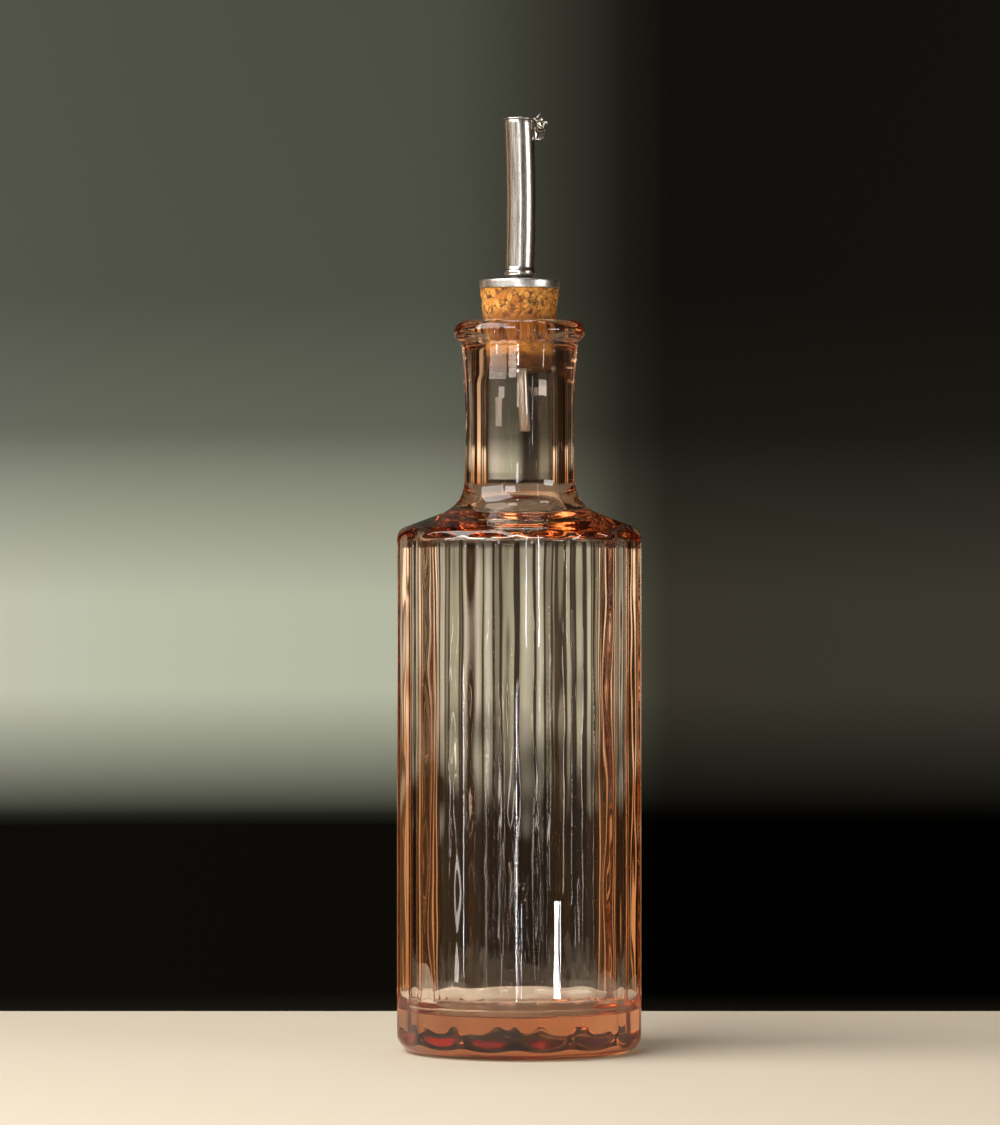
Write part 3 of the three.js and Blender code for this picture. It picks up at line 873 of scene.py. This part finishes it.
def softbox(name, azimuth, elevation, distance, width, height, power):
    # rectangular area light on a sphere round the bottle's middle, turned to face it
    a, e = math.radians(azimuth), math.radians(elevation)
    data = bpy.data.lights.new(name, "AREA")
    data.shape = "RECTANGLE"
    data.size, data.size_y = width, height
    data.energy = power
    light = bpy.data.objects.new(name, data)
    away = np.array([math.sin(a) * math.cos(e), -math.cos(a) * math.cos(e), math.sin(e)])
    light.location = np.array(lampAim) + away * distance
    light.rotation_euler = (math.pi / 2 - e, 0, a)
    light.visible_camera = False
    collection.objects.link(light)


for name, setting in lamps.items():
    softbox(name, *setting)

# surround
surround = {
    "centre": ((-16, "#a09a8a"), (-13, "#d2cec0"), (-9, "#dcd9cc"), (-6, "#c4c5b2"), (-4, "#bcbfa8"),
               (-0.6, "#b4b6a0"), (0.7, "#7c7b69"), (1.5, "#38342b"), (6.5, "#3a382f"), (8.5, "#8f8c78"),
               (13, "#8f8c78"), (16, "#4a463b")),     # degrees right of straight behind the bottle
    "strips": ((-62, -50), (-36, -31), (-26, -21.5), (21.5, 26), (33, 34.5)),   # degrees, lit stretches
    "stripEdge": 1.5,                                 # degrees over which a strip fades
    "stripColour": "#e6d2bc",
    "gapColour": "#281c12",
    "farLeft": "#6a573f",
    "farRight": "#241c15",
    "flankGain": (1.9, 1.74, 1.54, 1.0),              # how much brighter the flanks are, by channel
    "front": ((0.0, "#98805f"), (0.2, "#6c5e4c"), (0.5, "#463f36"), (0.8, "#524840"), (1.0, "#6c6054")),
    "ground": "#a3937c",
    "groundBehind": "#766858",
    "levelSpan": (-0.25, 0.25),                       # sine of the elevation at the ends of the level ramps
    "level": ((0.0, "#161412"), (0.405, "#161412"), (0.452, "#ffffff"), (0.486, "#ffffff"), (0.51, "#dcdcdc"),
              (0.531, "#b8b8b8"), (0.549, "#8c8c8c"), (0.6, "#707070"), (1.0, "#686868")),
    "sideLevel": ((0.0, "#6a4a28"), (0.3, "#ac8658"), (0.36, "#bf9d78"), (0.42, "#bc9c7c"), (0.49, "#ffffff"),
                  (0.51, "#ffffff"), (0.54, "#d8d0c8"), (0.66, "#b4aaa2"), (1.0, "#a09890")),
    "innerLevel": ((0.0, "#6a4a28"), (0.3, "#ac8658"), (0.36, "#bf9d78"), (0.42, "#bc9c7c"),
                   (0.49, "#ffffff"), (0.508, "#ffffff"), (0.528, "#4c433c"), (1.0, "#403834")),
    "innerSpan": (0.27, 0.31),                        # sines of the azimuth where centre turns to flank
    "sideSpan": (0.66, 0.72),                         # and where inner flank turns to outer
    "behindSpan": (-0.2, 0.2),                        # front to back
    "groundSpan": (-0.08, -0.17),                     # sines of the elevation where room turns to ground
}


def aroundStops(stops):
    # ramp places are half of one plus the sine of the azimuth in degrees
    return [(0.5 + 0.5 * math.sin(math.radians(a)), colour) for a, colour in sorted(stops)]


def stripStops(s):
    # each strip keeps its colour between its two azimuths and drops to the gap's within the edge outside them
    stops = {-90: s["farLeft"], 90: s["farRight"]}
    for start, end in s["strips"]:
        stops.update({start - s["stripEdge"]: s["gapColour"], end + s["stripEdge"]: s["gapColour"]})
        stops.update({start: s["stripColour"], end: s["stripColour"]})
    return stops.items()


def studioWorld(s):
    # soft lit backdrop behind the bottle, upright lit strips and dark gaps on its flanks, a dim plain front
    # and a pale ground; behind, each is a colour by azimuth times a shade by elevation
    world = bpy.data.worlds.new("studio")
    bpy.context.scene.world = world
    world.use_nodes = True
    tree = world.node_tree
    tree.nodes.clear()
    way = partsOf(tree, addNode(tree, "ShaderNodeTexCoord").outputs["Generated"])
    across = remap(tree, way["X"], -1.0, 1.0)
    level = remap(tree, way["Z"], *s["levelSpan"])
    behind = remap(tree, way["Y"], *s["behindSpan"])
    below = remap(tree, way["Z"], *s["groundSpan"])
    aside = addNode(tree, "ShaderNodeMath", {"operation": "ABSOLUTE"}, in0=way["X"]).outputs[0]
    centre = mixColours(tree, 1.0, rampColour(tree, across, aroundStops(s["centre"])),
                        rampColour(tree, level, s["level"]), "MULTIPLY")
    flankShade = mixColours(tree, remap(tree, aside, *s["sideSpan"]),
                            rampColour(tree, level, s["innerLevel"]), rampColour(tree, level, s["sideLevel"]))
    strips = rampColour(tree, across, aroundStops(stripStops(s)))
    flank = mixColours(tree, 1.0, strips, flankShade, "MULTIPLY")
    flank = mixColours(tree, 1.0, flank, s["flankGain"], "MULTIPLY")
    backdrop = mixColours(tree, remap(tree, aside, *s["innerSpan"]), centre, flank)
    room = mixColours(tree, behind, rampColour(tree, across, s["front"]), backdrop)
    ground = mixColours(tree, behind, linear(s["ground"]), linear(s["groundBehind"]))
    whole = mixColours(tree, below, room, ground)
    back = addNode(tree, "ShaderNodeBackground", Color=whole)
    addNode(tree, "ShaderNodeOutputWorld", Surface=back.outputs[0])


studioWorld(surround)
print("stage and lights set")
